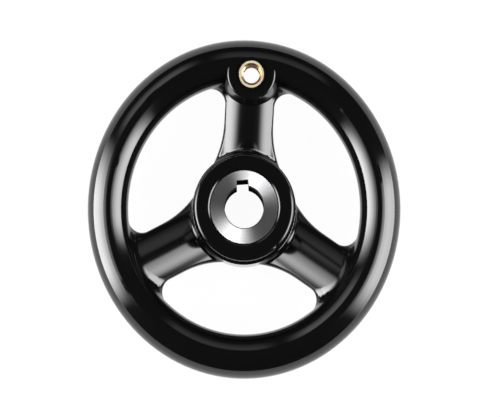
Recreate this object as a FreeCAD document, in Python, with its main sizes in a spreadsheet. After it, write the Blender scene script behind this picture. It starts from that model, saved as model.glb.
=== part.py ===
import FreeCAD, Part
import math
import os
import Sketcher

# Three-spoke machine handwheel: a phenolic wheel moulded in one piece round a keyed steel bush and a
# threaded brass insert. Millimetres. The wheel lies flat: its axis is +Z through the origin, the back
# of the hub is at height 0, and the spoke that carries the handle boss points along +Y.

doc = FreeCAD.newDocument("handwheel")
sheet = doc.addObject("Spreadsheet::Sheet", "sizes")

driving_sizes = (
    ("wheel_diameter", 160.0, "outside diameter of the rim"),
    ("rim_width", 20.8, "radial width of the rim's oval section"),
    ("rim_thickness", 23.0, "axial thickness of the rim's oval section"),
    ("rim_crest_radius", 7.5, "radius at the front and back of the rim's oval section"),
    ("rim_setback", 0.5, "how far the rim's crest lies behind the front face of the hub"),
    ("hub_length", 38.0, "length of hub and bush along the axis"),
    ("hub_diameter", 53.0, "hub where the spokes join it"),
    ("hub_nose_diameter", 50.8, "hub in front of the spokes, up to its front face"),
    ("hub_edge_radius", 1.4, "rounding of the hub's front and back edges"),
    ("shoulder_rise", 0.6, "how far the hub's shoulder lies in front of the spokes' feet"),
    ("shoulder_edge_radius", 0.3, "rounding of that shoulder's edge"),
    ("spoke_count", 3, "spokes round the hub"),
    ("spoke_root_height", 14.0, "height of a spoke's middle line where it leaves the hub"),
    ("spoke_thickness", 15.0, "thickness of a spoke along its middle line"),
    ("crown_radius", 20.0, "radius of a spoke's crowned front and back"),
    ("spoke_start_share", 0.87, "where the bar of a spoke starts, as a share of the bush's radius"),
    ("neck_width", 25.2, "spoke at its narrowest"),
    ("web_thickness", 6.0, "web that flares a spoke into the hub"),
    ("web_radius", 8.0, "fillet between a spoke's crown and its web"),
    ("root_radius", 45.0, "plan radius of the flare"),
    ("root_inset", 1.2, "how far inside the hub's surface the flare would touch it"),
    ("window_edge_radius", 1.8, "rounding of the edges of a spoke"),
    ("foot_radius", 2.0, "fillet between a spoke's rib and the hub"),
    ("tip_radius", 7.0, "fillet between a spoke and the rim"),
    ("handle_inset", 6.4, "how far inside the rim's middle circle the handle's axis lies"),
    ("boss_diameter", 24.4, "face of the handle boss"),
    ("boss_drop", 0.3, "how far the boss face lies below the crest of the rim"),
    ("boss_edge_radius", 1.0, "rounding of the boss face's edge"),
    ("boss_draft", 14.0, "draft of the boss's side, in degrees"),
    ("seat_diameter", 16.4, "spot-faced seat round the insert"),
    ("seat_depth", 0.6, "depth of that seat below the boss face"),
    ("bush_diameter", 34.5, "outside of the steel bush"),
    ("bore_diameter", 20.0, "bore of the bush"),
    ("bore_chamfer", 0.4, "chamfer at both ends of the bore"),
    ("key_width", 6.0, "width of the keyway"),
    ("key_depth", 2.8, "depth of the keyway beyond the bore"),
    ("key_turn", 7.5, "turn of the keyway from the handle spoke, in degrees, seen from the front"),
    ("bush_anchor_length", 10.0, "length of the groove that locks the bush in the moulding"),
    ("bush_anchor_depth", 1.5, "depth of that groove"),
    ("lip_width", 1.1, "width of the chamfer in the moulding round the bush"),
    ("lip_depth", 0.6, "depth of that chamfer"),
    ("insert_diameter", 12.8, "outside of the brass insert"),
    ("insert_rise", 0.3, "how far the insert stands above its seat"),
    ("insert_anchor_length", 6.0, "length of the groove that locks the insert in the moulding"),
    ("insert_anchor_depth", 0.8, "depth of that groove"),
    ("thread_minor_diameter", 8.5, "hole of the insert inside its thread"),
    ("thread_mouth_diameter", 10.6, "countersink at both ends of the thread"),
)
for row, (name, value, note) in enumerate(driving_sizes, start=1):
    sheet.set("A%d" % row, name)
    sheet.set("B%d" % row, str(value))
    sheet.set("C%d" % row, note)
    sheet.setAlias("B%d" % row, name)
doc.recompute()

# places that several features share, as expressions of the sheet's sizes
hub_radius = "(sizes.hub_diameter / 2)"
nose_radius = "(sizes.hub_nose_diameter / 2)"
bush_radius = "(sizes.bush_diameter / 2)"
bore_radius = "(sizes.bore_diameter / 2)"
insert_radius = "(sizes.insert_diameter / 2)"
rim_centre = "((sizes.wheel_diameter - sizes.rim_width) / 2)"
rim_crest = "(sizes.hub_length - sizes.rim_setback)"
rim_middle = "(%s - sizes.rim_thickness / 2)" % rim_crest
rim_back = "(%s - sizes.rim_thickness)" % rim_crest
handle_radius = "(%s - sizes.handle_inset)" % rim_centre
boss_face = "(%s - sizes.boss_drop)" % rim_crest
boss_back = "(%s + sizes.boss_drop)" % rim_back
seat_face = "(%s - sizes.seat_depth)" % boss_face
insert_face = "(%s + sizes.insert_rise)" % seat_face
above_all = "(sizes.hub_length + sizes.rim_thickness)"
half_neck = "(sizes.neck_width / 2)"
half_web = "(sizes.web_thickness / 2)"
half_spoke = "(sizes.spoke_thickness / 2)"

# middle line of a spoke: a straight climb from the hub's surface to the middle of the rim's section
climb = "((%s - sizes.spoke_root_height) / (%s - %s))" % (rim_middle, rim_centre, hub_radius)
spoke_lean = "atan(%s)" % climb
spoke_start = "(%s * sizes.spoke_start_share)" % bush_radius
spoke_start_height = "(sizes.spoke_root_height + %s * (%s - %s))" % (climb, spoke_start, hub_radius)
spoke_crest_at_hub = "(sizes.spoke_root_height + %s / cos(%s))" % (half_spoke, spoke_lean)


def size_of(expression):
    return float(sheet.evalExpression(expression))


def origin_feature(body, role):
    return next(item for item in body.Origin.OriginFeatures if item.Role == role)


def new_body(name):
    body = doc.addObject("PartDesign::Body", name)
    body.Label = name
    return body


def new_sketch(body, name, role):
    sketch = body.newObject("Sketcher::SketchObject", name)
    sketch.AttachmentSupport = (origin_feature(body, role), [""])
    sketch.MapMode = "FlatFace"
    return sketch


def bind(sketch, kind, *target):
    # adds a dimension whose value, the last argument, is an expression of the sizes
    index = sketch.addConstraint(Sketcher.Constraint(kind, *target[:-1], size_of(target[-1])))
    sketch.setExpression("Constraints[%d]" % index, target[-1])


def pin_point(sketch, geometry, corner, across, up):
    for kind, axis, expression in (("DistanceX", -2, across), ("DistanceY", -1, up)):
        if expression == "0":
            sketch.addConstraint(Sketcher.Constraint("PointOnObject", geometry, corner, axis))
        else:
            bind(sketch, kind, -1, 1, geometry, corner, expression)


def arc_between(start, end, radius, side):
    # short arc whose centre lies to the left (1) or right (-1) of the way from start to end
    chord = end - start
    across = FreeCAD.Vector(-chord.y, chord.x, 0).normalize() * side
    sagitta_side = math.sqrt(radius ** 2 - (chord.Length / 2) ** 2)
    centre = (start + end) / 2 + across * sagitta_side
    middle = centre - across * radius
    return Part.Arc(start, middle, end)


def draw_outline(sketch, corners):
    # closed outline, each corner tied to its coordinates; a corner with a radius and a side starts an arc
    first = sketch.GeometryCount
    count = len(corners)
    places = [FreeCAD.Vector(size_of(corner[0]), size_of(corner[1]), 0) for corner in corners]
    for index, corner in enumerate(corners):
        start, end = places[index], places[(index + 1) % count]
        if len(corner) == 2:
            sketch.addGeometry(Part.LineSegment(start, end), False)
        else:
            sketch.addGeometry(arc_between(start, end, size_of(corner[2]), corner[3]), False)
    for index, corner in enumerate(corners):
        here, after = first + index, first + (index + 1) % count
        end_of_this = 2 if len(corner) == 2 or corner[3] == 1 else 1
        next_corner = corners[(index + 1) % count]
        start_of_next = 1 if len(next_corner) == 2 or next_corner[3] == 1 else 2
        sketch.addConstraint(Sketcher.Constraint("Coincident", here, end_of_this, after, start_of_next))
        own_start = 1 if len(corner) == 2 or corner[3] == 1 else 2
        pin_point(sketch, here, own_start, corner[0], corner[1])
        if len(corner) == 4:
            bind(sketch, "Radius", here, corner[2])


def revolve(body, name, sketch, kind="Revolution", axis="V_Axis"):
    feature = body.newObject("PartDesign::" + kind, name)
    feature.Profile = sketch
    feature.ReferenceAxis = (sketch, [axis])
    feature.Angle = 360
    body.Tip = feature
    return feature


def draw_axis(sketch, across):
    # upright construction line that a sketch is turned about
    length = size_of("sizes.hub_length")
    foot = FreeCAD.Vector(size_of(across), 0, 0)
    line = sketch.addGeometry(Part.LineSegment(foot, foot + FreeCAD.Vector(0, length, 0)), True)
    sketch.addConstraint(Sketcher.Constraint("Vertical", line))
    bind(sketch, "Distance", line, "sizes.hub_length")
    pin_point(sketch, line, 1, across, "0")


def turned_body(name, corners):
    # a piece turned about its own upright axis
    body = new_body(name)
    sketch = new_sketch(body, name + "_section", "YZ_Plane")
    draw_outline(sketch, corners)
    revolve(body, name + "_turned", sketch)
    return body


near = 0.001    # two lengths or directions this close are taken as one


def centre_of(edge):
    place = edge.valueAt((edge.FirstParameter + edge.LastParameter) / 2)
    return math.hypot(place.x, place.y), place.z


def about_wheel_axis(face):
    surface = face.Surface
    if not isinstance(surface, (Part.Cylinder, Part.Cone)):
        return False
    return abs(surface.Axis.z) > 1 - near and math.hypot(surface.Center.x, surface.Center.y) < near


def round_edges(body, name, radius, wanted):
    # fillet on every edge between two faces that the test picks
    doc.recompute()
    shape = body.Tip.Shape
    names = []
    for number, edge in enumerate(shape.Edges, start=1):
        faces = shape.ancestorsOfType(edge, Part.Face)
        if len(faces) == 2 and wanted(edge, faces):
            names.append("Edge%d" % number)
    feature = body.newObject("PartDesign::Fillet", name)
    feature.Base = (feature.BaseFeature, names)
    feature.setExpression("Radius", radius)
    body.Tip = feature
    doc.recompute()


# moulding: spokes, hub and rim
moulding = new_body("moulding")

# one spoke: a crowned bar with a thinner web at both sides, leaning up from the hub to the rim
sink = "(sizes.crown_radius - %s)" % half_spoke
fillet_centre_up = "(%s + sizes.web_radius)" % half_web
fillet_centre_across = "sqrt((sizes.crown_radius + sizes.web_radius) ^ 2 - (%s + %s) ^ 2)" % (
    fillet_centre_up, sink)
crown_share = "(sizes.crown_radius / (sizes.crown_radius + sizes.web_radius))"
crown_end_across = "(%s * %s)" % (fillet_centre_across, crown_share)
crown_end_up = "((%s + %s) * %s - %s)" % (fillet_centre_up, sink, crown_share, sink)
spoke_section = new_sketch(moulding, "spoke_section", "XZ_Plane")
draw_outline(spoke_section, [
    (hub_radius, "-" + half_web),
    (hub_radius, half_web),
    (fillet_centre_across, half_web, "sizes.web_radius", -1),
    (crown_end_across, crown_end_up, "sizes.crown_radius", 1),
    ("-" + crown_end_across, crown_end_up, "sizes.web_radius", -1),
    ("-" + fillet_centre_across, half_web),
    ("-" + hub_radius, half_web),
    ("-" + hub_radius, "-" + half_web),
    ("-" + fillet_centre_across, "-" + half_web, "sizes.web_radius", -1),
    ("-" + crown_end_across, "-" + crown_end_up, "sizes.crown_radius", 1),
    (crown_end_across, "-" + crown_end_up, "sizes.web_radius", -1),
    (fillet_centre_across, "-" + half_web)])
spoke_section.AttachmentOffset = FreeCAD.Placement(
    FreeCAD.Vector(0, 0, 0), FreeCAD.Rotation(FreeCAD.Vector(1, 0, 0), size_of(spoke_lean)))
spoke_section.setExpression("AttachmentOffset.Base.y", spoke_start_height)
spoke_section.setExpression("AttachmentOffset.Base.z", "-" + spoke_start)
spoke_section.setExpression("AttachmentOffset.Rotation.Angle", spoke_lean)
spoke_bar = moulding.newObject("PartDesign::Pad", "spoke_bar")
spoke_bar.Profile = spoke_section
spoke_bar.Reversed = True
spoke_bar.setExpression("Length", "(%s - %s) / cos(%s) + %s" % (
    rim_centre, spoke_start, spoke_lean, half_spoke))

# its plan: a straight neck that flares into the hub
flare_reach = "(%s - sizes.root_inset + sizes.root_radius)" % hub_radius
flare_across = "(%s + sizes.root_radius)" % half_neck
neck_start = "sqrt(%s ^ 2 - %s ^ 2)" % (flare_reach, flare_across)
root_share = "((%s - sizes.root_inset) / %s)" % (hub_radius, flare_reach)
root_across = "(%s * %s)" % (flare_across, root_share)
root_along = "(%s * %s)" % (neck_start, root_share)
spoke_plan = new_sketch(moulding, "spoke_plan", "XY_Plane")
spoke_plan.setExpression("AttachmentOffset.Base.z", above_all)
draw_outline(spoke_plan, [
    ("-sizes.wheel_diameter", "-sizes.wheel_diameter"), ("sizes.wheel_diameter", "-sizes.wheel_diameter"),
    ("sizes.wheel_diameter", "sizes.wheel_diameter"), ("-sizes.wheel_diameter", "sizes.wheel_diameter")])
draw_outline(spoke_plan, [
    (root_across, root_along, "sizes.root_radius", -1),
    (half_neck, neck_start),
    (half_neck, rim_centre),
    ("-" + half_neck, rim_centre),
    ("-" + half_neck, neck_start, "sizes.root_radius", -1),
    ("-" + root_across, root_along)])
spoke_trim = moulding.newObject("PartDesign::Pocket", "spoke_trim")
spoke_trim.Profile = spoke_plan
spoke_trim.Type = "ThroughAll"
moulding.Tip = spoke_trim
doc.recompute()


def upright(face):
    first_u, last_u, first_v, last_v = face.ParameterRange
    return abs(face.normalAt((first_u + last_u) / 2, (first_v + last_v) / 2).z) < near


def is_window_edge(edge, faces):
    place = edge.valueAt((edge.FirstParameter + edge.LastParameter) / 2)
    inside = size_of(spoke_start) + size_of(half_web) < place.y < size_of(rim_centre) - near
    return inside and upright(faces[0]) != upright(faces[1])


round_edges(moulding, "window_edges", "sizes.window_edge_radius", is_window_edge)

spokes = moulding.newObject("PartDesign::PolarPattern", "spokes")
spokes.TransformMode = "Whole shape"
spokes.Axis = (origin_feature(moulding, "Z_Axis"), [""])
spokes.Angle = 360
spokes.setExpression("Occurrences", "sizes.spoke_count")
moulding.Tip = spokes
doc.recompute()

# hub: a drum that the spokes run into, and in front of its rounded shoulder a slimmer nose
shoulder_front = "(%s + sizes.foot_radius + sizes.shoulder_rise)" % spoke_crest_at_hub
hub_section = new_sketch(moulding, "hub_section", "YZ_Plane")
draw_outline(hub_section, [
    ("0", "0"),
    (hub_radius + " - sizes.hub_edge_radius", "0", "sizes.hub_edge_radius", 1),
    (hub_radius, "sizes.hub_edge_radius"),
    (hub_radius, shoulder_front + " - sizes.shoulder_edge_radius", "sizes.shoulder_edge_radius", 1),
    (hub_radius + " - sizes.shoulder_edge_radius", shoulder_front),
    (nose_radius, shoulder_front),
    (nose_radius, "sizes.hub_length - sizes.hub_edge_radius", "sizes.hub_edge_radius", 1),
    (nose_radius + " - sizes.hub_edge_radius", "sizes.hub_length"),
    ("0", "sizes.hub_length")])
hub = revolve(moulding, "hub", hub_section)
doc.recompute()


def is_foot_edge(edge, faces):
    reach, height = centre_of(edge)
    on_hub = [about_wheel_axis(face) for face in faces]
    lowest = size_of("sizes.hub_edge_radius") + near
    highest = size_of(shoulder_front + " - sizes.shoulder_edge_radius") - near
    return on_hub.count(True) == 1 and lowest < height < highest


round_edges(moulding, "spoke_feet", "sizes.foot_radius", is_foot_edge)

# rim: an oval of four arcs turned about the axis
half_width = "(sizes.rim_width / 2)"
half_height = "(sizes.rim_thickness / 2)"
crest_centre = "(%s - sizes.rim_crest_radius)" % half_height
width_beyond_crest = "(%s - sizes.rim_crest_radius)" % half_width
side_shift = "((%s ^ 2 - %s ^ 2) / 2 / %s)" % (crest_centre, width_beyond_crest, width_beyond_crest)
side_radius = "(%s + %s)" % (half_width, side_shift)
crest_share = "(sizes.rim_crest_radius / (%s - sizes.rim_crest_radius))" % side_radius
join_across = "(%s * %s)" % (side_shift, crest_share)
join_up = "(%s * (1 + %s))" % (crest_centre, crest_share)
outer_join = "%s + %s" % (rim_centre, join_across)
inner_join = "%s - %s" % (rim_centre, join_across)
back_join = "%s - %s" % (rim_middle, join_up)
front_join = "%s + %s" % (rim_middle, join_up)
rim_section = new_sketch(moulding, "rim_section", "YZ_Plane")
draw_outline(rim_section, [
    (outer_join, back_join, side_radius, 1),
    (outer_join, front_join, "sizes.rim_crest_radius", 1),
    (inner_join, front_join, side_radius, 1),
    (inner_join, back_join, "sizes.rim_crest_radius", 1)])
rim = revolve(moulding, "rim", rim_section)
doc.recompute()


def is_tip_edge(edge, faces):
    turned = [isinstance(face.Surface, Part.Toroid) for face in faces]
    reach, height = centre_of(edge)
    return turned.count(True) == 1 and size_of(rim_centre + " - " + half_width) < reach < size_of(rim_centre)


round_edges(moulding, "spoke_tips", "sizes.tip_radius", is_tip_edge)


# handle boss: drafted towards both faces, and cut off where the rim's crest takes over
boss_radius = "(sizes.boss_diameter / 2)"
boss_half_depth = "((%s - %s) / 2)" % (boss_face, boss_back)
boss_waist = "(%s + %s * tan(sizes.boss_draft))" % (boss_radius, boss_half_depth)
edge_set_back = "(sizes.boss_edge_radius * tan(45 - sizes.boss_draft / 2))"
boss_flat = "(%s + %s - %s)" % (handle_radius, boss_radius, edge_set_back)
boss_side = "(%s + %s + %s * sin(sizes.boss_draft))" % (
    handle_radius, boss_radius, edge_set_back)
edge_drop = "(%s * cos(sizes.boss_draft))" % edge_set_back

boss_core = new_body("boss_core")
boss_section = new_sketch(boss_core, "boss_section", "YZ_Plane")
draw_outline(boss_section, [
    (handle_radius, boss_back),
    (boss_flat, boss_back, "sizes.boss_edge_radius", 1),
    (boss_side, "%s + %s" % (boss_back, edge_drop)),
    (handle_radius + " + " + boss_waist, rim_middle),
    (boss_side, "%s - %s" % (boss_face, edge_drop), "sizes.boss_edge_radius", 1),
    (boss_flat, boss_face),
    (handle_radius, boss_face)])
draw_axis(boss_section, handle_radius)
revolve(boss_core, "boss_turned", boss_section, axis="Axis0")
boss_plan = new_sketch(boss_core, "boss_plan", "XY_Plane")
boss_plan.setExpression("AttachmentOffset.Base.z", above_all)
draw_outline(boss_plan, [
    ("-sizes.wheel_diameter", "-sizes.wheel_diameter"), ("sizes.wheel_diameter", "-sizes.wheel_diameter"),
    ("sizes.wheel_diameter", "sizes.wheel_diameter"), ("-sizes.wheel_diameter", "sizes.wheel_diameter")])
rim_line = boss_plan.addGeometry(
    Part.Circle(FreeCAD.Vector(0, 0, 0), FreeCAD.Vector(0, 0, 1), size_of(rim_centre)), False)
boss_plan.addConstraint(Sketcher.Constraint("Coincident", rim_line, 3, -1, 1))
bind(boss_plan, "Radius", rim_line, rim_centre)
boss_trim = boss_core.newObject("PartDesign::Pocket", "boss_trim")
boss_trim.Profile = boss_plan
boss_trim.Type = "ThroughAll"
boss_core.Tip = boss_trim
doc.recompute()
boss = moulding.newObject("PartDesign::Boolean", "boss")
boss.setObjects([boss_core])
boss.Type = "Fuse"
moulding.Tip = boss
doc.recompute()

# spot-faced seat round the insert
seat_plan = new_sketch(moulding, "seat_plan", "XY_Plane")
seat_plan.setExpression("AttachmentOffset.Base.z", above_all)
seat_ring = seat_plan.addGeometry(Part.Circle(
    FreeCAD.Vector(0, size_of(handle_radius), 0), FreeCAD.Vector(0, 0, 1),
    size_of("sizes.seat_diameter / 2")), False)
bind(seat_plan, "Diameter", seat_ring, "sizes.seat_diameter")
pin_point(seat_plan, seat_ring, 3, "0", handle_radius)
seat = moulding.newObject("PartDesign::Pocket", "seat")
seat.Profile = seat_plan
seat.Type = "Length"
seat.setExpression("Length", "%s - %s" % (above_all, seat_face))
moulding.Tip = seat
doc.recompute()

# recesses for the insert and the bush; the moulding fills the groove of each
insert_anchor_start = "((%s + %s - sizes.insert_anchor_length) / 2)" % (boss_back, insert_face)
insert_anchor_end = "(%s + sizes.insert_anchor_length)" % insert_anchor_start
insert_neck = "(%s - sizes.insert_anchor_depth)" % insert_radius
insert_side = [
    (insert_radius, insert_anchor_start), (insert_neck, insert_anchor_start),
    (insert_neck, insert_anchor_end), (insert_radius, insert_anchor_end)]
insert_hole = new_sketch(moulding, "insert_hole", "YZ_Plane")
draw_outline(insert_hole, [
    (handle_radius, "0"), (handle_radius + " + " + insert_radius, "0"),
    *[(handle_radius + " + " + across, up) for across, up in insert_side],
    (handle_radius + " + " + insert_radius, above_all), (handle_radius, above_all)])
draw_axis(insert_hole, handle_radius)
insert_recess = revolve(moulding, "insert_recess", insert_hole, "Groove", "Axis0")
doc.recompute()

bush_anchor_start = "((sizes.hub_length - sizes.bush_anchor_length) / 2)"
bush_anchor_end = "(%s + sizes.bush_anchor_length)" % bush_anchor_start
bush_neck = "(%s - sizes.bush_anchor_depth)" % bush_radius
bush_side = [
    (bush_radius, bush_anchor_start), (bush_neck, bush_anchor_start),
    (bush_neck, bush_anchor_end), (bush_radius, bush_anchor_end)]
bush_hole = new_sketch(moulding, "bush_hole", "YZ_Plane")
draw_outline(bush_hole, [
    ("0", "-sizes.lip_depth"), (bush_radius, "-sizes.lip_depth"), *bush_side,
    (bush_radius, "sizes.hub_length - sizes.lip_depth"),
    (bush_radius + " + 2 * sizes.lip_width", "sizes.hub_length + sizes.lip_depth"),
    ("0", "sizes.hub_length + sizes.lip_depth")])
bush_recess = revolve(moulding, "bush_recess", bush_hole, "Groove")
doc.recompute()
moulding.Label = "wheel_body"

# steel bush, its keyway cut along +Y and the whole bush then turned a little from the handle spoke
hub_bush = turned_body("hub_bush", [
    (bore_radius + " + sizes.bore_chamfer", "0"), (bush_radius, "0"), *bush_side,
    (bush_radius, "sizes.hub_length"), (bore_radius + " + sizes.bore_chamfer", "sizes.hub_length"),
    (bore_radius, "sizes.hub_length - sizes.bore_chamfer"), (bore_radius, "sizes.bore_chamfer")])
keyway_plan = new_sketch(hub_bush, "keyway_plan", "XY_Plane")
keyway_plan.setExpression("AttachmentOffset.Base.z", above_all)
draw_outline(keyway_plan, [
    ("-sizes.key_width / 2", "0"), ("sizes.key_width / 2", "0"),
    ("sizes.key_width / 2", bore_radius + " + sizes.key_depth"),
    ("-sizes.key_width / 2", bore_radius + " + sizes.key_depth")])
keyway = hub_bush.newObject("PartDesign::Pocket", "keyway")
keyway.Profile = keyway_plan
keyway.Type = "ThroughAll"
hub_bush.Tip = keyway
hub_bush.Placement = FreeCAD.Placement(
    FreeCAD.Vector(0, 0, 0), FreeCAD.Rotation(FreeCAD.Vector(0, 0, 1), size_of("sizes.key_turn")))
hub_bush.setExpression("Placement.Rotation.Angle", "sizes.key_turn")

# brass insert, countersunk at both ends of its thread
insert_length = "(%s - %s)" % (insert_face, boss_back)
thread_radius = "(sizes.thread_minor_diameter / 2)"
mouth_radius = "(sizes.thread_mouth_diameter / 2)"
mouth_depth = "(%s - %s)" % (mouth_radius, thread_radius)
handle_insert = turned_body("handle_insert", [
    (mouth_radius, "0"), (insert_radius, "0"),
    *[(across, "%s - %s" % (up, boss_back)) for across, up in insert_side],
    (insert_radius, insert_length), (mouth_radius, insert_length),
    (thread_radius, "%s - %s" % (insert_length, mouth_depth)), (thread_radius, mouth_depth)])
handle_insert.setExpression("Placement.Base.y", handle_radius)
handle_insert.setExpression("Placement.Base.z", boss_back)
doc.recompute()

nodes = {"wheel_body": moulding, "hub_bush": hub_bush, "handle_insert": handle_insert}
for item in doc.Objects:
    if "Invalid" in item.State or "Error" in item.State:
        raise RuntimeError("%s did not rebuild: %s" % (item.Label, item.State))
os.makedirs("parts", exist_ok=True)
for node, body in nodes.items():
    if body.Shape.isNull() or not body.Shape.isValid():
        raise RuntimeError(node + " has no valid shape")
    body.Shape.exportStep("parts/%s.step" % node)
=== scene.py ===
import bpy
import math
from mathutils import Matrix, Vector


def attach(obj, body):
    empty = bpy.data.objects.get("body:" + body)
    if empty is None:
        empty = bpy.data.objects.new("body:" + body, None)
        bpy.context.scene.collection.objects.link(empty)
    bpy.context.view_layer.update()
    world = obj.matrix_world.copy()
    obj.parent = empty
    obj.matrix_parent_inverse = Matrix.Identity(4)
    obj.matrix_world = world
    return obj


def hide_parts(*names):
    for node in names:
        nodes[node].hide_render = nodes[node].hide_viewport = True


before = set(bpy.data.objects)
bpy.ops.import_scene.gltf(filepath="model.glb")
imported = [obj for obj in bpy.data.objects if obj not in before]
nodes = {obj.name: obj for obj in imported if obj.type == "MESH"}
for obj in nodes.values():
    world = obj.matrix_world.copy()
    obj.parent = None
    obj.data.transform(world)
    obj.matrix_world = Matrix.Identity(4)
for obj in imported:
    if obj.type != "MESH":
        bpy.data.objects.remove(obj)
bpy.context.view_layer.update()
mm = 0.001
handleAxis = (0, 63.2 * mm, 0)          # runs through the middle of the handle insert
white = (1, 1, 1, 1)
noiseEnds = (0.3, 0.7)                  # noise values that take the darkest and the lightest shade
riseAndFall = (0.0, 1.0, 1.0, 0.0)
print("frame loaded:", ", ".join(sorted(nodes)))


# materials
def addNode(tree, kind, inputs=None, **settings):
    node = tree.nodes.new(kind)
    for name, value in settings.items():
        setattr(node, name, value)
    for name, value in (inputs or {}).items():
        node.inputs[name].default_value = value
    return node


def freshMaterial(name):
    material = bpy.data.materials.new(name)
    material.use_nodes = True
    tree = material.node_tree
    tree.nodes.clear()
    output = addNode(tree, "ShaderNodeOutputMaterial")
    shader = addNode(tree, "ShaderNodeBsdfPrincipled")
    tree.links.new(shader.outputs["BSDF"], output.inputs["Surface"])
    return material, tree, shader


# a value is a constant, another node's output, or None for a socket that stays as it is
def feed(tree, sockets, values):
    for socket, value in zip(sockets, values):
        if isinstance(value, bpy.types.NodeSocket):
            tree.links.new(value, socket)
        elif value is not None:
            socket.default_value = value


def addMath(tree, operation, first, second=None):
    node = addNode(tree, "ShaderNodeMath", operation=operation)
    feed(tree, node.inputs, (first, second))
    return node.outputs["Value"]


def addVectorMath(tree, operation, first, second=None):
    node = addNode(tree, "ShaderNodeVectorMath", operation=operation)
    feed(tree, node.inputs, (first, second))
    return node.outputs["Value" if operation == "LENGTH" else "Vector"]


def addMix(tree, kind, share, first, second):
    node = addNode(tree, "ShaderNodeMix", data_type=kind)
    feed(tree, [socket for socket in node.inputs if socket.enabled], (share, first, second))
    return next(socket for socket in node.outputs if socket.enabled)


def addRange(tree, source, low, high):
    spread = addNode(tree, "ShaderNodeMapRange", {"To Min": low, "To Max": high})
    tree.links.new(source, spread.inputs["Value"])
    return spread.outputs["Result"]


def addRamp(tree, source, positions, colours, interpolation="LINEAR"):
    ramp = addNode(tree, "ShaderNodeValToRGB")
    ramp.color_ramp.interpolation = interpolation
    elements = ramp.color_ramp.elements
    while len(elements) < len(positions):
        elements.new(1.0)
    for element, position, colour in zip(elements, positions, colours):
        element.position = position
        element.color = colour if isinstance(colour, tuple) else (colour, colour, colour, 1)
    tree.links.new(source, ramp.inputs["Fac"])
    return ramp.outputs["Color"]


def addBump(tree, shader, height, depth):
    bump = addNode(tree, "ShaderNodeBump", {"Strength": 1.0, "Distance": depth})
    tree.links.new(height, bump.inputs["Height"])
    tree.links.new(bump.outputs["Normal"], shader.inputs["Normal"])


# polished phenolic: almost black, with the faint unevenness of a moulded and buffed skin
phenolic = {
    "darkest": (0.0014, 0.0014, 0.0016, 1),
    "lightest": (0.0026, 0.0026, 0.0029, 1),
    "roughness": (0.075, 0.115),
    "spokeHaze": 0.045,                         # spokes are left as moulded, rim and hub are buffed
    "spokeZone": (25.5, 30.0, 55.0, 61.0),      # mm off the axis: haze starts, is full, falls, is gone
    "zoneReach": 100.0,                         # mm off the axis where the zone's ramp ends
    "ior": 1.6,
    "waveScale": 55.0,                          # waves of the skin, per metre
    "waveDetail": 1.0,
    "waveHeight": 0.014 * mm,
    "grainScale": 2600.0,                       # fine buffing haze, per metre
    "grainDetail": 3.0,
}


def makePhenolic():
    material, tree, shader = freshMaterial("polishedPhenolic")
    place = addNode(tree, "ShaderNodeTexCoord").outputs["Object"]
    grain = addNode(tree, "ShaderNodeTexNoise",
                    {"Scale": phenolic["grainScale"], "Detail": phenolic["grainDetail"]})
    wave = addNode(tree, "ShaderNodeTexNoise",
                   {"Scale": phenolic["waveScale"], "Detail": phenolic["waveDetail"]})
    for texture in (grain, wave):
        tree.links.new(place, texture.inputs["Vector"])
    shades = addRamp(tree, grain.outputs["Fac"], noiseEnds, (phenolic["darkest"], phenolic["lightest"]))
    tree.links.new(shades, shader.inputs["Base Color"])
    radius = addVectorMath(tree, "LENGTH", addVectorMath(tree, "MULTIPLY", place, (1, 1, 0)))
    share = addMath(tree, "DIVIDE", radius, phenolic["zoneReach"] * mm)
    zone = [edge / phenolic["zoneReach"] for edge in phenolic["spokeZone"]]
    haze = addMath(tree, "MULTIPLY", addRamp(tree, share, zone, riseAndFall), phenolic["spokeHaze"])
    buffed = addRange(tree, grain.outputs["Fac"], *phenolic["roughness"])
    tree.links.new(addMath(tree, "ADD", buffed, haze), shader.inputs["Roughness"])
    shader.inputs["IOR"].default_value = phenolic["ior"]
    addBump(tree, shader, wave.outputs["Fac"], phenolic["waveHeight"])
    return material


# turned metals: bright faces across the axis; walls along it, inside the holes, get a darker colour that
# is painted shade
turned = {
    "wallEnds": (0.75, 0.9),                    # upright part of the normal: wall ends, face starts
    "wallShade": 0.8,                           # darkest part of a wall, as a share of its colour
    "specular": 0.5,
    "markDetail": 2.0,
}
steel = {
    "name": "turnedSteel",
    "axis": (0, 0, 0),
    "dark": (0.58, 0.58, 0.59, 1),
    "light": (0.86, 0.86, 0.87, 1),
    "paintedHoleShade": (0.035, 0.035, 0.037, 1),           # bore and keyway, painted near black as shade
    "faceMetal": 1.0,
    "wallMetal": 0.0,
    "wallRoughness": 0.75,
    "roughness": (0.29, 0.39),
    "anisotropy": 0.85,
    "sweep": 22 / 360,                          # turn of the highlight against the grooves
    "marksPerMetre": 4200.0,
    "markHeight": 0.002 * mm,
}
brass = {
    "name": "turnedBrass",
    "axis": handleAxis,
    "dark": (0.86, 0.71, 0.48, 1),
    "light": (0.97, 0.86, 0.64, 1),
    "paintedHoleShade": (0.48, 0.29, 0.12, 1),              # thread and hole, painted darker brown as shade
    "faceMetal": 0.6,
    "wallMetal": 1.0,
    "wallRoughness": 0.3,
    "roughness": (0.18, 0.28),
    "anisotropy": 0.5,
    "sweep": 0.0,
    "marksPerMetre": 5200.0,
    "markHeight": 0.0015 * mm,
}


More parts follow.
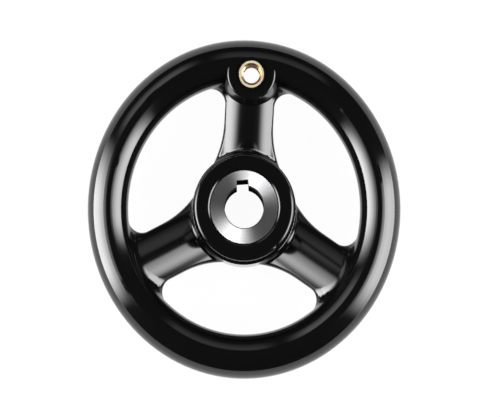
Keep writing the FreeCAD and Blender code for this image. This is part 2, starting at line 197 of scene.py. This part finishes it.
def makeTurned(metal):
    material, tree, shader = freshMaterial(metal["name"])
    coordinates = addNode(tree, "ShaderNodeTexCoord").outputs
    fromAxis = addVectorMath(tree, "SUBTRACT", coordinates["Object"], metal["axis"])
    outward = addVectorMath(tree, "MULTIPLY", fromAxis, (1, 1, 0))
    marks = addNode(tree, "ShaderNodeTexNoise",
                    {"Scale": metal["marksPerMetre"], "Detail": turned["markDetail"]},
                    noise_dimensions="1D")
    tree.links.new(addVectorMath(tree, "LENGTH", outward), marks.inputs["W"])
    noise = marks.outputs["Fac"]
    normal = addNode(tree, "ShaderNodeSeparateXYZ")
    tree.links.new(coordinates["Normal"], normal.inputs["Vector"])
    upright = addMath(tree, "ABSOLUTE", normal.outputs["Z"])
    isFace = addRamp(tree, upright, turned["wallEnds"], (0.0, 1.0))
    # walls along the axis lie inside the bore, keyway and thread; their darker colour is painted shade
    darkerHoleShade = tuple(turned["wallShade"] * part for part in metal["paintedHoleShade"][:3]) + (1,)
    paintedHoleShade = addRamp(tree, noise, noiseEnds, (darkerHoleShade, metal["paintedHoleShade"]))
    face = addRamp(tree, noise, noiseEnds, (metal["dark"], metal["light"]))
    tree.links.new(addMix(tree, "RGBA", isFace, paintedHoleShade, face), shader.inputs["Base Color"])
    faceRoughness = addRange(tree, noise, *metal["roughness"])
    roughness = addMix(tree, "FLOAT", isFace, metal["wallRoughness"], faceRoughness)
    tree.links.new(roughness, shader.inputs["Roughness"])
    bare = addRange(tree, isFace, metal["wallMetal"], metal["faceMetal"])
    tree.links.new(bare, shader.inputs["Metallic"])
    specular = addMath(tree, "MULTIPLY", bare, turned["specular"])
    tree.links.new(specular, shader.inputs["Specular IOR Level"])
    shader.inputs["Anisotropic"].default_value = metal["anisotropy"]
    shader.inputs["Anisotropic Rotation"].default_value = metal["sweep"]
    addBump(tree, shader, noise, metal["markHeight"])
    # grooves run round the axis
    alongGrooves = addVectorMath(tree, "CROSS_PRODUCT", (0, 0, 1), outward)
    tree.links.new(alongGrooves, shader.inputs["Tangent"])
    return material


def finish(node, material):
    node.data.materials.clear()
    node.data.materials.append(material)


brassMaterial = makeTurned(brass)
finish(nodes["wheel_body"], makePhenolic())
finish(nodes["hub_bush"], makeTurned(steel))
finish(nodes["handle_insert"], brassMaterial)
print("materials set")

# threaded insert: the CAD insert's section turned round its axis, with the thread cut into its hole
# sizes in mm, heights from the wheel's back
insert = {
    "bottom": 14.8,
    "top": 36.9,
    "radius": 6.4,
    "grooveRadius": 5.6,
    "grooveLength": 6.0,
    "mouthRadius": 5.3,
    "minorRadius": 4.25,
    "majorRadius": 5.0,
    "pitch": 1.5,
    "crestShare": 0.2,          # flat crest of each turn, as a share of the pitch
    "flatsOverCrest": 1.6,      # crest and root flat together, over the crest
    "rowsPerTurn": 12,          # rows of faces along the hole
    "around": 72,               # faces round it
    "sharpAngle": 35,           # degrees between faces from which an edge is drawn sharp
}


# from the lower mouth round the outside to the upper mouth, then down the hole
# both mouths are countersunk at 45 degrees
def insertSection():
    middle = (insert["bottom"] + insert["top"]) / 2
    half = insert["grooveLength"] / 2
    cone = insert["mouthRadius"] - insert["minorRadius"]
    outside = [
        (insert["mouthRadius"], insert["bottom"]), (insert["radius"], insert["bottom"]),
        (insert["radius"], middle - half), (insert["grooveRadius"], middle - half),
        (insert["grooveRadius"], middle + half), (insert["radius"], middle + half),
        (insert["radius"], insert["top"]), (insert["mouthRadius"], insert["top"])]
    length = insert["top"] - insert["bottom"]
    rows = int(length / insert["pitch"] * insert["rowsPerTurn"])
    inside = []
    for row in range(1, rows):
        depth = length * row / rows
        flare = max(0.0, cone - min(depth, length - depth))
        inside.append((insert["minorRadius"] + flare, insert["top"] - depth))
    return outside, inside


def turnInsert():
    outside, inside = insertSection()
    section = outside + inside
    count = insert["around"]
    points = []
    for radius, height in section:
        for step in range(count):
            angle = 2 * math.pi * step / count
            points.append((radius * math.cos(angle) * mm, radius * math.sin(angle) * mm, height * mm))
    faces = []
    for row in range(len(section)):
        here, there = row * count, (row + 1) % len(section) * count
        for step in range(count):
            following = (step + 1) % count
            faces.append((here + step, here + following, there + following, there + step))
    mesh = bpy.data.meshes.new("insertBlank")
    mesh.from_pydata(points, [], faces)
    # 1 on the points of the hole, which the thread moves
    hole = mesh.attributes.new("hole", "FLOAT", "POINT")
    hole.data.foreach_set("value", [0.0] * (len(outside) * count) + [1.0] * (len(inside) * count))
    return mesh


def makeThreadNodes():
    group = bpy.data.node_groups.new("cutThread", "GeometryNodeTree")
    group.interface.new_socket("Geometry", in_out="INPUT", socket_type="NodeSocketGeometry")
    sizes = ("Pitch", "Minor Radius", "Major Radius", "Crest Share", "Flats Over Crest")
    sockets = {name: group.interface.new_socket(name, in_out="INPUT", socket_type="NodeSocketFloat")
               for name in sizes}
    sockets["Material"] = group.interface.new_socket(
        "Material", in_out="INPUT", socket_type="NodeSocketMaterial")
    group.interface.new_socket("Geometry", in_out="OUTPUT", socket_type="NodeSocketGeometry")
    start = addNode(group, "NodeGroupInput").outputs
    end = addNode(group, "NodeGroupOutput")
    link = group.links.new
    place = addNode(group, "ShaderNodeSeparateXYZ")
    link(addNode(group, "GeometryNodeInputPosition").outputs["Position"], place.inputs["Vector"])
    x, y, z = place.outputs
    radius = addMath(group, "SQRT", addMath(
        group, "ADD", addMath(group, "MULTIPLY", x, x), addMath(group, "MULTIPLY", y, y)))
    turn = addMath(group, "DIVIDE", addMath(group, "ARCTAN2", y, x), 2 * math.pi)
    climb = addMath(group, "SUBTRACT", addMath(group, "DIVIDE", z, start["Pitch"]), turn)
    # 0 at the middle of a crest, 1 at the middle of the root, half a pitch away
    wave = addMath(group, "MULTIPLY", addMath(group, "PINGPONG", climb, 0.5), 2.0)
    flats = addMath(group, "MULTIPLY", start["Crest Share"], start["Flats Over Crest"])
    slope = addMath(group, "DIVIDE", addMath(group, "SUBTRACT", wave, start["Crest Share"]),
                    addMath(group, "SUBTRACT", 1.0, flats))
    cut = addNode(group, "ShaderNodeClamp")
    link(slope, cut.inputs["Value"])
    deep = addMath(group, "SUBTRACT", start["Major Radius"], start["Minor Radius"])
    wanted = addMath(group, "ADD", start["Minor Radius"],
                     addMath(group, "MULTIPLY", cut.outputs["Result"], deep))
    scale = addMath(group, "DIVIDE", addMath(group, "MAXIMUM", wanted, radius), radius)
    moved = addNode(group, "ShaderNodeCombineXYZ")
    feed(group, moved.inputs, (addMath(group, "MULTIPLY", x, scale),
                               addMath(group, "MULTIPLY", y, scale), z))
    hole = addNode(group, "GeometryNodeInputNamedAttribute", {"Name": "hole"}, data_type="FLOAT")
    shift = addNode(group, "GeometryNodeSetPosition")
    link(start["Geometry"], shift.inputs["Geometry"])
    link(hole.outputs["Attribute"], shift.inputs["Selection"])
    link(moved.outputs["Vector"], shift.inputs["Position"])
    solid = addNode(group, "GeometryNodeRealizeInstances")
    link(shift.outputs["Geometry"], solid.inputs["Geometry"])
    paint = addNode(group, "GeometryNodeSetMaterial")
    link(solid.outputs["Geometry"], paint.inputs["Geometry"])
    link(start["Material"], paint.inputs["Material"])
    link(paint.outputs["Geometry"], end.inputs["Geometry"])
    return group, sockets


def makeThreadedInsert():
    blank = bpy.data.objects.new("insertBlank", turnInsert())
    bpy.context.collection.objects.link(blank)
    group, sockets = makeThreadNodes()
    modifier = blank.modifiers.new("cutThread", "NODES")
    modifier.node_group = group
    values = {
        "Pitch": insert["pitch"] * mm,
        "Minor Radius": insert["minorRadius"] * mm,
        "Major Radius": insert["majorRadius"] * mm,
        "Crest Share": insert["crestShare"],
        "Flats Over Crest": insert["flatsOverCrest"],
        "Material": brassMaterial,
    }
    for name, value in values.items():
        modifier[sockets[name].identifier] = value
    bpy.context.view_layer.update()
    graph = bpy.context.evaluated_depsgraph_get()
    mesh = bpy.data.meshes.new_from_object(blank.evaluated_get(graph), depsgraph=graph)
    bpy.data.objects.remove(blank)
    mesh.name = "threadedInsert"
    mesh.transform(Matrix.Translation(handleAxis))
    mesh.shade_smooth()
    mesh.set_sharp_from_angle(angle=math.radians(insert["sharpAngle"]))
    piece = bpy.data.objects.new("threadedInsert", mesh)
    bpy.context.collection.objects.link(piece)
    return piece


threadedInsert = makeThreadedInsert()
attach(threadedInsert, "root")
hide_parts("handle_insert")
print("threaded insert:", len(threadedInsert.data.polygons), "faces")

# floor: white to the camera and in reflections, with the wheel's shadow
studio = {
    "floorHeight": -0.3 * mm,   # just clear of the wheel's back
    "floorSize": 6.0,
    "floorColour": (0.86, 0.86, 0.86, 1),
    "floorRoughness": 0.9,
    "whiteShare": 0.96,         # how far the white hides the floor's own colour and shadow
    "worldStrength": 0.03,
}


def makeFloor():
    bpy.ops.mesh.primitive_plane_add(size=studio["floorSize"], location=(0, 0, studio["floorHeight"]))
    floor = bpy.context.object
    floor.name = "floor"
    material, tree, shader = freshMaterial("paleFloor")
    shader.inputs["Base Color"].default_value = studio["floorColour"]
    shader.inputs["Roughness"].default_value = studio["floorRoughness"]
    surface = shader.outputs["BSDF"].links[0].to_socket
    glow = addNode(tree, "ShaderNodeEmission", {"Color": white, "Strength": 1.0})
    path = addNode(tree, "ShaderNodeLightPath").outputs
    reflected = addMath(tree, "MAXIMUM", path["Is Glossy Ray"], path["Is Transmission Ray"])
    seen = addMath(tree, "MAXIMUM", path["Is Camera Ray"], reflected)
    mix = addNode(tree, "ShaderNodeMixShader")
    feed(tree, mix.inputs, (addMath(tree, "MULTIPLY", seen, studio["whiteShare"]),
                            shader.outputs["BSDF"], glow.outputs["Emission"]))
    tree.links.new(mix.outputs["Shader"], surface)
    floor.data.materials.append(material)


makeFloor()

# soft panels upright round the wheel, in metres
# "ends" is where the light starts, is full, starts to fall and is gone, along the panel from its "place"
# "fade" is how strong it is at the "stops", which are shares of the panel's height from its foot up
sideStops = (0.0, 0.07, 0.135, 0.218, 0.312, 0.47, 0.98)
smallStops = (0.0, 0.3, 0.7, 1.0)
panels = (
    {"name": "leftPanel", "place": (-0.5, -0.08, 0.85), "faces": (1, 0, 0), "height": 1.7,
     "level": 14.0, "ends": (-0.33, -0.10, 0.11, 0.34),
     "stops": sideStops, "fade": (0.95, 1.0, 1.0, 0.77, 0.49, 0.19, 0.04)},
    {"name": "rightPanel", "place": (0.5, -0.08, 0.85), "faces": (-1, 0, 0), "height": 1.7,
     "level": 10.5, "ends": (-0.32, -0.10, 0.18, 0.33),
     "stops": sideStops, "fade": (0.75, 0.82, 1.0, 0.97, 0.75, 0.44, 0.02)},
    {"name": "farPanel", "place": (-0.38, 0.42, 0.62), "faces": (0.67, -0.74, 0), "height": 0.7,
     "level": 1.4, "ends": (-0.24, -0.10, 0.10, 0.24),
     "stops": smallStops, "fade": riseAndFall},
    {"name": "topPanel", "place": (0.08, 0.52, 0.6), "faces": (0, -1, 0), "height": 0.7,
     "level": 0.5, "ends": (-0.25, -0.15, 0.15, 0.25),
     "stops": smallStops, "fade": riseAndFall},
)


def makePanel(panel):
    light = bpy.data.lights.new(panel["name"], "AREA")
    light.shape = "RECTANGLE"
    halfWidth = max(abs(end) for end in panel["ends"])
    light.size = 2 * halfWidth
    light.size_y = panel["height"]
    # an area light gives off this power at a radiance of "level"
    light.energy = math.pi * light.size * light.size_y * panel["level"]
    light.use_nodes = True
    tree = light.node_tree
    tree.nodes.clear()
    place = addNode(tree, "ShaderNodeSeparateXYZ")
    tree.links.new(addNode(tree, "ShaderNodeNewGeometry").outputs["Parametric"], place.inputs["Vector"])
    shares = [(end + halfWidth) / light.size for end in panel["ends"]]
    along = addRamp(tree, place.outputs["X"], shares, riseAndFall, "EASE")
    upward = addRamp(tree, place.outputs["Y"], panel["stops"], panel["fade"], "B_SPLINE")
    emission = addNode(tree, "ShaderNodeEmission", {"Color": white})
    output = addNode(tree, "ShaderNodeOutputLight")
    tree.links.new(addMath(tree, "MULTIPLY", along, upward), emission.inputs["Strength"])
    tree.links.new(emission.outputs["Emission"], output.inputs["Surface"])
    lamp = bpy.data.objects.new(panel["name"], light)
    bpy.context.collection.objects.link(lamp)
    # the lamp shines along its own -Z, with its height upright
    back = -Vector(panel["faces"])
    up = Vector((0, 0, 1))
    side = up.cross(back)
    turn = Matrix((side, up, back)).transposed().to_4x4()
    lamp.matrix_world = Matrix.Translation(panel["place"]) @ turn


for panel in panels:
    makePanel(panel)

world = bpy.data.worlds.new("studio")
bpy.context.scene.world = world
world.use_nodes = True
background = world.node_tree.nodes["Background"]
background.inputs["Color"].default_value = white
background.inputs["Strength"].default_value = studio["worldStrength"]
bpy.context.scene.view_settings.view_transform = "Standard"
print("stage and lights set")

# camera: straight on from a little below, the picture squeezed sideways as the photograph is
# lengths in metres, apart from the sensor
shot = {
    "frameWidth": 500,
    "frameHeight": 417,
    "target": (0.0, 0.0, 0.026),
    "distance": 6.0,
    "below": 3.3,               # degrees under the wheel's axis
    "roll": 3.4,                # degrees the wheel is turned clockwise in the picture
    "squeeze": 0.9226,          # width of the picture over its true width
    "rimDiameter": 0.16,
    "rimSpan": 339.2,           # pixels that the rim's diameter takes upright
    "centre": (244.1, 208.5),   # pixel that the target falls on
    "sensor": 36.0,             # mm
    "nearest": 0.01,
    "farthest": 50,
}


def makeCamera():
    data = bpy.data.cameras.new("camera")
    camera = bpy.data.objects.new("camera", data)
    bpy.context.collection.objects.link(camera)
    roll = math.radians(shot["roll"])
    below = math.radians(shot["below"])
    pictureUp = Vector((-math.sin(roll), math.cos(roll), 0))
    toCamera = Vector((0, 0, 1)) * math.cos(below) - pictureUp * math.sin(below)
    right = pictureUp.cross(Vector((0, 0, 1))).normalized()
    up = toCamera.cross(right).normalized()
    place = Vector(shot["target"]) + toCamera * shot["distance"]
    # leaning the upright axis toward the camera makes the picture taller than it is wide
    lean = math.acos(shot["squeeze"])
    leaningUp = up * math.cos(lean) + toCamera * math.sin(lean)
    shear = Matrix.Identity(4)
    for column, axis in enumerate((right, leaningUp, toCamera, place)):
        for row in range(3):
            shear[row][column] = axis[row]
    holder = bpy.data.objects.new("cameraHolder", None)
    bpy.context.collection.objects.link(holder)
    camera.parent = holder
    camera.matrix_parent_inverse = shear
    pixelsPerTangent = shot["rimSpan"] / shot["rimDiameter"] * shot["distance"] * shot["squeeze"]
    data.sensor_width = shot["sensor"]
    data.lens = pixelsPerTangent * shot["sensor"] / shot["frameWidth"]
    data.shift_x = (shot["frameWidth"] / 2 - shot["centre"][0]) / shot["frameWidth"]
    data.shift_y = (shot["centre"][1] - shot["frameHeight"] / 2) / shot["frameWidth"]
    data.clip_start = shot["nearest"]
    data.clip_end = shot["farthest"]
    bpy.context.scene.camera = camera


makeCamera()
print("camera set")

bpy.context.view_layer.update()
